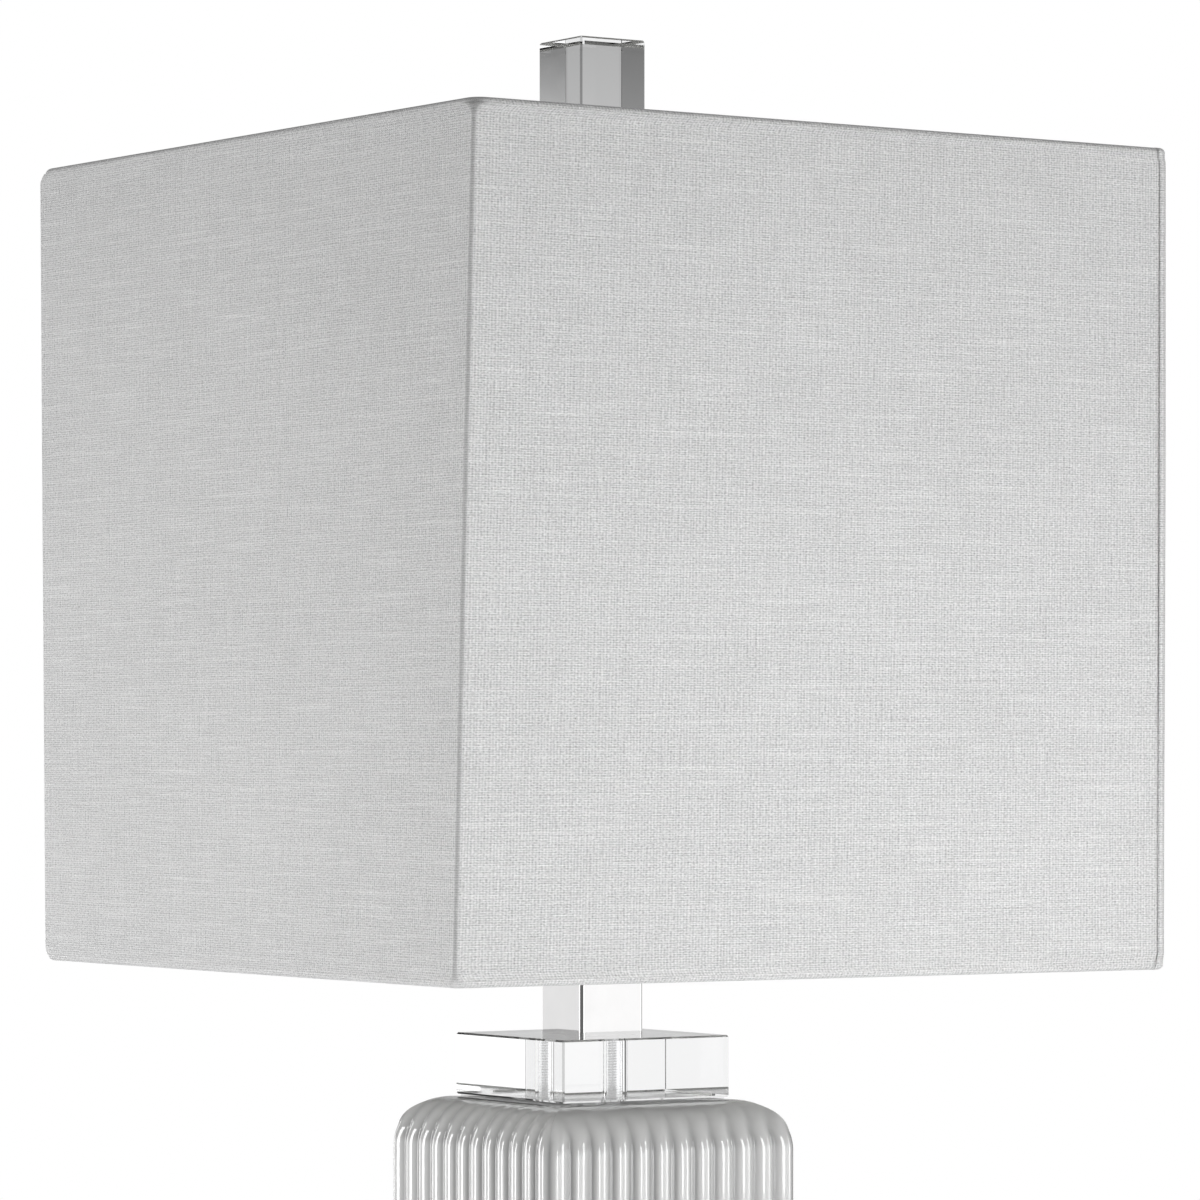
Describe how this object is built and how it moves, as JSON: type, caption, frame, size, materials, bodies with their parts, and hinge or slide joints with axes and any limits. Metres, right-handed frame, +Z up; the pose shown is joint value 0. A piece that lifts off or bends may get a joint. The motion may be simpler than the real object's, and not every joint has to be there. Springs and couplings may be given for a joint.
{
  "type": "column table lamp",
  "caption": "Column table lamp: ribbed glazed ceramic column on a clear square foot, clear square collar and finial, metal neck, and a square linen shade on a wire harp.",
  "frame": {"origin": "centre of the resting footprint, on the table under the lamp's axis", "axes": "+Z up along the column's axis; -Y is the front, +Y the back with the cord hole; X and Y square to the column's faces"},
  "size_m": [0.305, 0.305, 0.7475],
  "materials": {
    "clear_rubber": "soft translucent pad",
    "crystal": "clear optical crystal with polished faces",
    "clear_seal": "thin clear cushion",
    "zinc_steel": "zinc plated, satin",
    "white_glaze": "high-gloss white glaze, greyer where it pools",
    "white_plastic": "moulded",
    "polished_nickel": "polished nickel plate",
    "nickel_steel": "nickel plated wire and strip",
    "socket_card": "pressed fibre card",
    "black_phenolic": "moulded phenolic",
    "brass": "plain brass",
    "aluminium": "pressed aluminium",
    "solder": "tinned contact",
    "black_glass": "dark glass button",
    "frosted_glass": "soft white frosted inside",
    "stem_glass": "clear glass stem",
    "tungsten": "fine drawn wire",
    "white_linen": "slubbed plain-weave linen blend",
    "white_styrene": "translucent white sheet",
    "white_wire": "white powder-coated wire"
  },
  "bodies": {
    "base": {"foot_pads": "clear_rubber", "crystal_foot": "crystal", "foot_seal": "clear_seal", "collar_seal": "clear_seal", "bottom_washer": "zinc_steel", "bottom_nut": "zinc_steel", "lock_nut": "zinc_steel", "lamp_rod": "zinc_steel", "ceramic_column": "white_glaze", "cord_bushing": "white_plastic", "crystal_collar": "crystal", "neck_tube": "polished_nickel", "neck_cap": "polished_nickel", "harp_saddle": "nickel_steel", "harp_wire": "nickel_steel", "harp_seat": "nickel_steel", "socket_cap": "polished_nickel", "socket_set_screw": "zinc_steel", "socket_shell": "polished_nickel", "socket_insulator": "socket_card", "socket_core": "black_phenolic", "hot_terminal_screw": "brass", "neutral_terminal_screw": "nickel_steel", "socket_screw_shell": "aluminium", "centre_contact": "brass"},
    "switch": {"switch_shaft": "brass", "switch_knob": "black_phenolic"},
    "sleeve_left": {"harp_sleeve_left": "nickel_steel"},
    "sleeve_right": {"harp_sleeve_right": "nickel_steel"},
    "bulb": {"bulb_contact": "solder", "bulb_base_glass": "black_glass", "bulb_screw_base": "aluminium", "bulb_glass": "frosted_glass", "bulb_stem": "stem_glass", "bulb_filament": "tungsten"},
    "shade": {"linen_cover": "white_linen", "shade_liner": "white_styrene", "bottom_frame": "white_wire", "top_frame": "white_wire", "spider_washer": "white_wire", "spider_arms": "white_wire"},
    "finial": {"finial_base": "polished_nickel", "finial_crystal": "crystal"}
  },
  "joints": [
    {"name": "switch_turn", "type": "hinge", "parent": "base", "child": "switch", "pos_m": [0, -0.03, 0.4516], "axis": [0, -1, 0], "continuous": true},
    {"name": "sleeve_left_lift", "type": "slide", "parent": "base", "child": "sleeve_left", "axis": [0, 0, 1], "range_m": [0, 0.012]},
    {"name": "sleeve_right_lift", "type": "slide", "parent": "base", "child": "sleeve_right", "axis": [0, 0, 1], "range_m": [0, 0.012]},
    {"name": "bulb_turn", "type": "hinge", "parent": "base", "child": "bulb", "pos_m": [0, 0, 0.4867], "axis": [0, 0, 1], "range_deg": [0, 1260]},
    {"name": "shade_turn", "type": "hinge", "parent": "base", "child": "shade", "pos_m": [0, 0, 0.6907], "axis": [0, 0, 1], "continuous": true},
    {"name": "finial_turn", "type": "hinge", "parent": "base", "child": "finial", "pos_m": [0, 0, 0.6907], "axis": [0, 0, 1], "range_deg": [0, 2160]}
  ]
}
